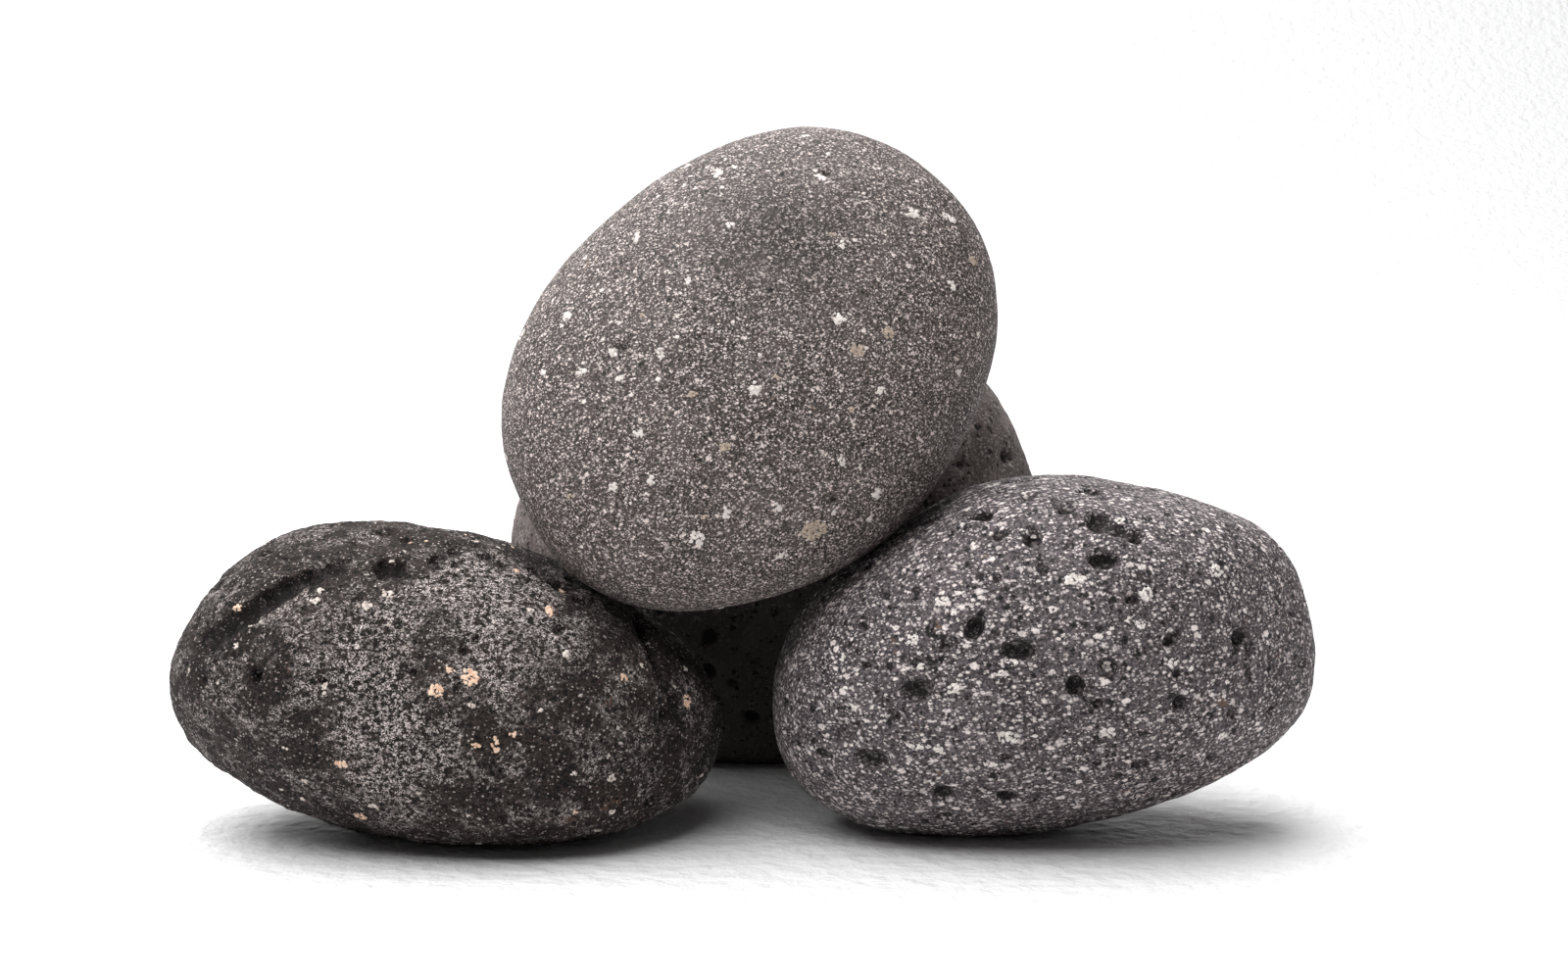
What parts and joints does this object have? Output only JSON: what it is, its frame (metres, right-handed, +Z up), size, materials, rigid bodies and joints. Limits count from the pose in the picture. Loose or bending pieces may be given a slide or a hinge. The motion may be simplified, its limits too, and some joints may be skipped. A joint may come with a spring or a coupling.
{
  "type": "basalt massage stone set",
  "caption": "Pile of smooth, porous basalt massage stones: two lying side by side, one on edge behind them, and one leaning on top, each free to be picked up.",
  "frame": {"origin": "centre of the pile's bounding box, on the surface that the stones stand on", "axes": "+X along the two stones that lie side by side, towards the right-hand one; +Y away from the viewer, towards the stone that stands behind; +Z up"},
  "size_m": [0.1696, 0.092, 0.1037],
  "materials": {
    "dark_basalt": "matte",
    "blue_grey_basalt": "matte",
    "grey_brown_basalt": "matte",
    "speckled_basalt": "matte"
  },
  "bodies": {
    "back": {"back_stone": "grey_brown_basalt"},
    "left": {"left_stone": "dark_basalt"},
    "right": {"right_stone": "blue_grey_basalt"},
    "top": {"top_stone": "speckled_basalt"}
  },
  "joints": [
    {"name": "left_stone_slide", "type": "slide", "parent": "back", "child": "left", "axis": [-1, 0, 0], "range_m": [0, 0.06]},
    {"name": "right_stone_slide", "type": "slide", "parent": "back", "child": "right", "axis": [1, 0, 0], "range_m": [0, 0.06]},
    {"name": "top_stone_lift", "type": "slide", "parent": "back", "child": "top", "axis": [0, 0, 1], "range_m": [0, 0.08]}
  ]
}
